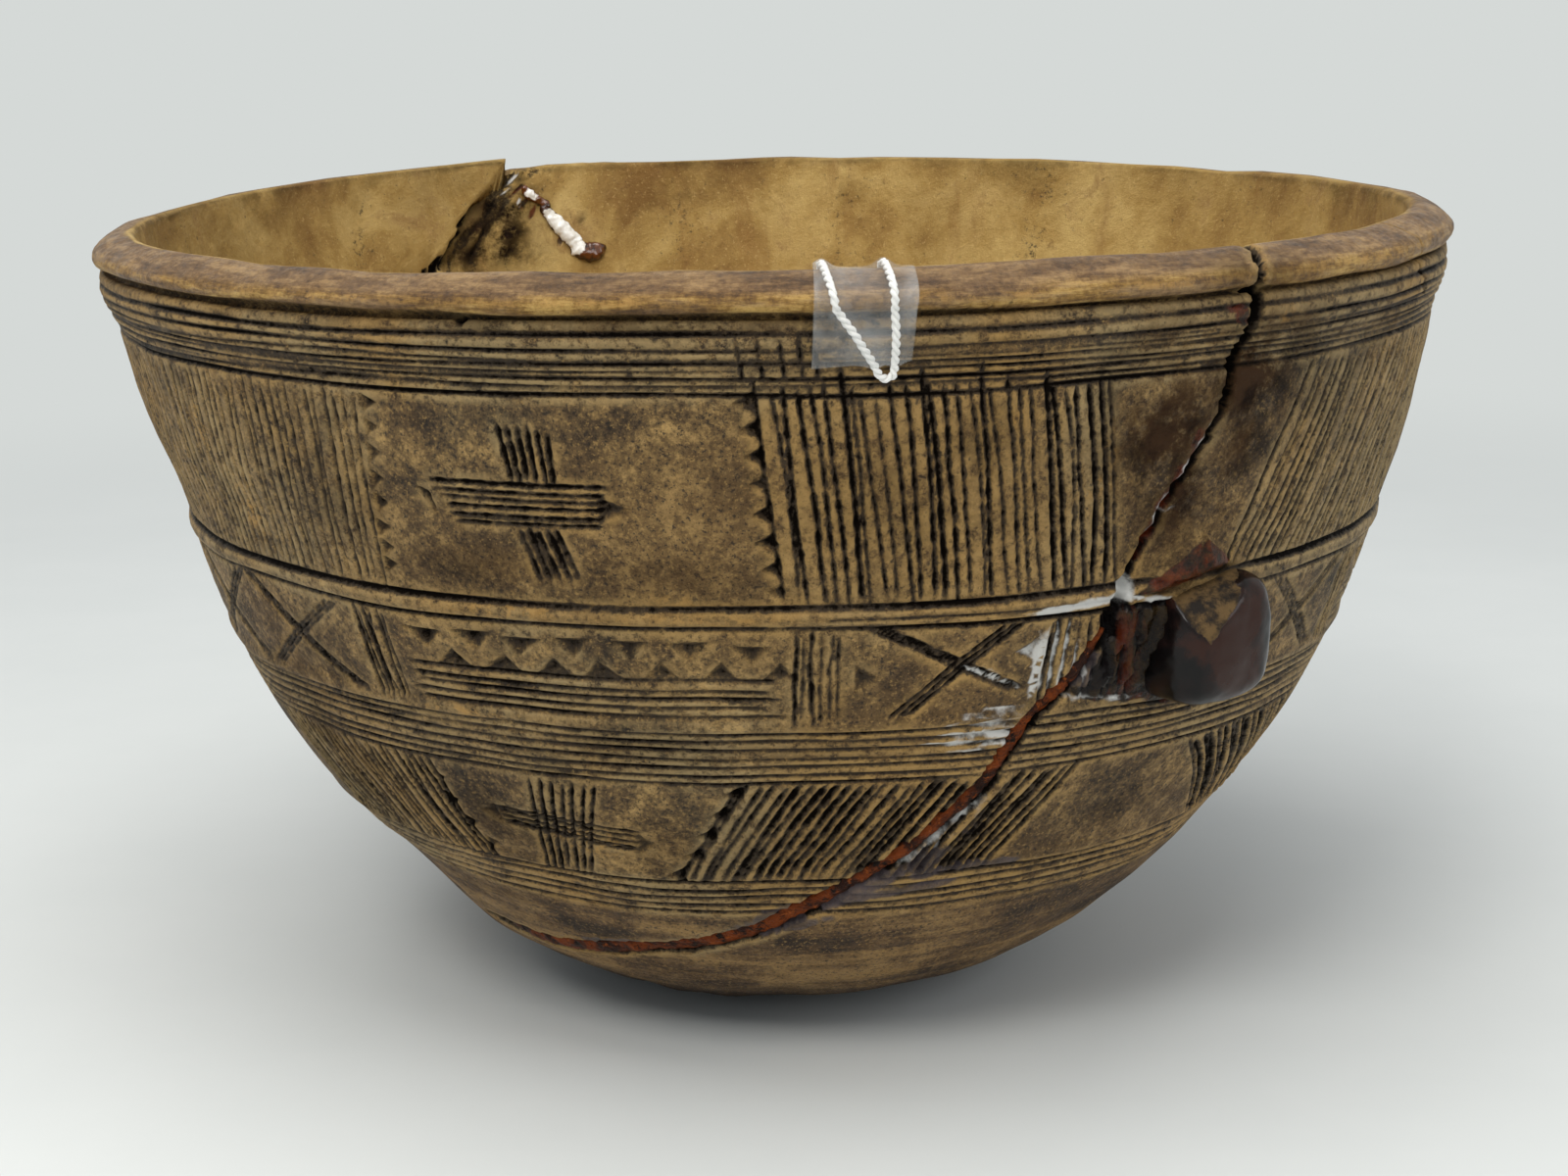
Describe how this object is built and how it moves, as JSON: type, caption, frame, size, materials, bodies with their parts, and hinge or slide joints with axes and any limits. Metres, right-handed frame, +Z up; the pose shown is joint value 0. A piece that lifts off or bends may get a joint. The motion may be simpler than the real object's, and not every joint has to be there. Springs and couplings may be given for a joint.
{
  "type": "wooden bowl",
  "caption": "Hand-carved round-bottomed wooden bowl with a rolled lip, a side lug, incised bands, old open cracks and resin repairs, for holding food.",
  "frame": {"origin": "centre of the worn flat under the bowl, where it rests", "axes": "+Z up along the bowl's axis, -Y towards the tape and string at the front, +X towards the lug's side"},
  "size_m": [0.32, 0.3225, 0.1911],
  "materials": {
    "wood": "worn hand-carved hardwood with dirt in the cuts",
    "resin": "old red-brown resin",
    "glue": "dried glossy glue",
    "string": "twisted cotton",
    "tape": "clear film"
  },
  "bodies": {
    "root": {"bowl": "wood", "crack_resin": "resin", "glue_drip": "glue", "tag_string": "string", "rim_tape": "tape"}
  },
  "joints": []
}
